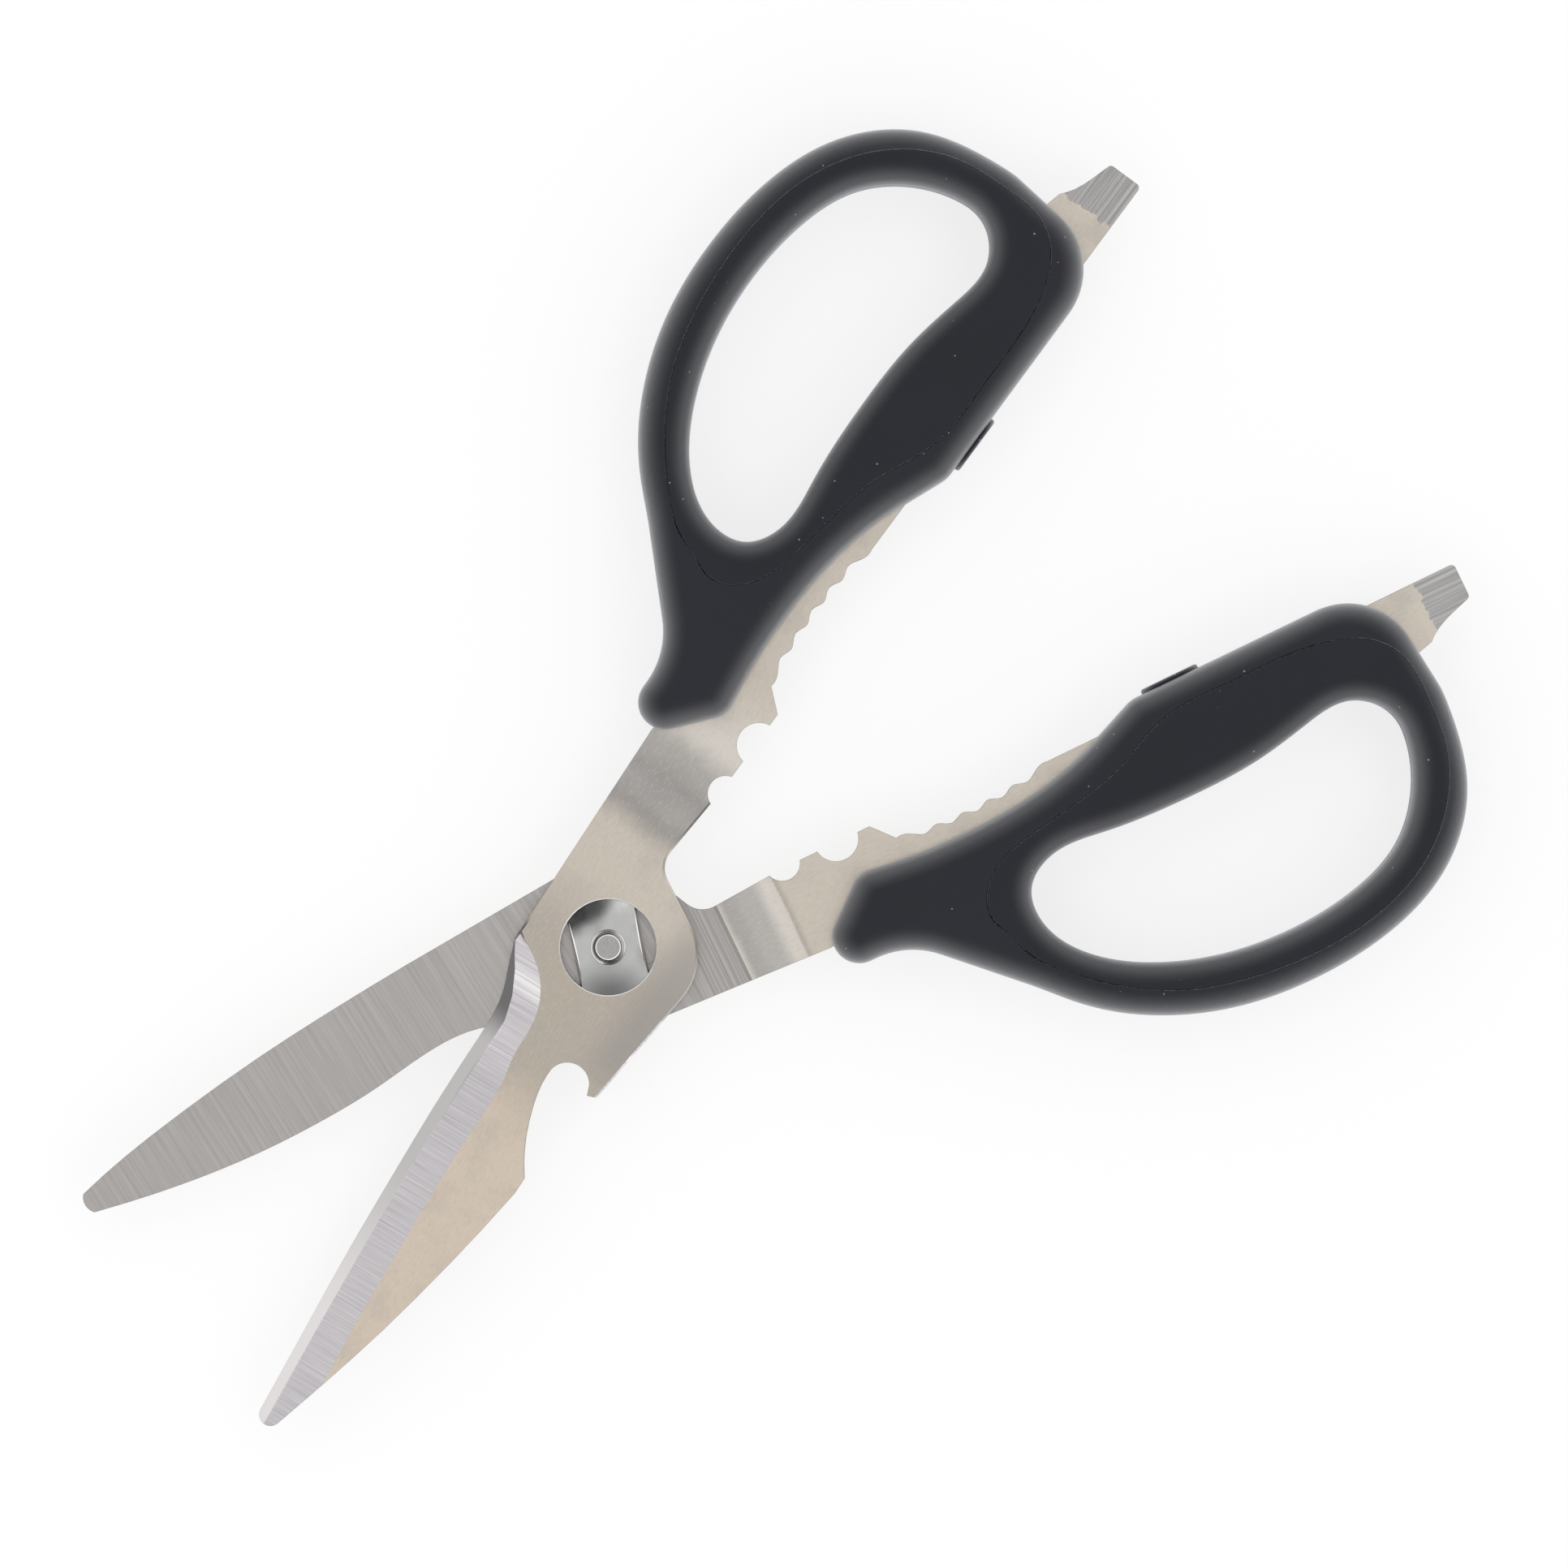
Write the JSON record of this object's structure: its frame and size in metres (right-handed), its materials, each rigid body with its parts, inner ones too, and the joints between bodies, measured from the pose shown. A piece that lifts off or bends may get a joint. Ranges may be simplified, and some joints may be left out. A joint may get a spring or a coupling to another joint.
{
  "type": "kitchen shears",
  "caption": "Kitchen shears with looped handles, toothed jaws, a bottle-opener notch and a locking pivot that comes apart.",
  "frame": {"origin": "on the pivot axis, at the flat underside of the pivot rivet's head", "axes": "+X from the pivot towards the blade tips, halving the opening; +Z along the pivot axis, out of the front half's face; +Y towards the front blade's tip"},
  "size_m": [0.2209, 0.147, 0.013],
  "materials": {
    "blade_steel": "finely ground stainless steel",
    "polished_steel": "polished stainless steel",
    "hard_plastic": "satin charcoal",
    "soft_plastic": "matt charcoal"
  },
  "bodies": {
    "back_half": {"back_blade": "blade_steel", "back_handle_frame": "hard_plastic", "back_soft_grip": "soft_plastic", "back_stop_pad": "soft_plastic", "pivot_rivet": "polished_steel", "hub_collar": "polished_steel", "lock_plate": "polished_steel"},
    "front_half": {"front_blade": "blade_steel", "front_handle_frame": "hard_plastic", "front_soft_grip": "soft_plastic", "front_stop_pad": "soft_plastic"}
  },
  "joints": [
    {"name": "blade_pivot", "type": "hinge", "parent": "back_half", "child": "front_half", "pos_m": [0, 0, 0.00373], "axis": [0, 0, 1], "range_deg": [-27.8, 72]}
  ]
}
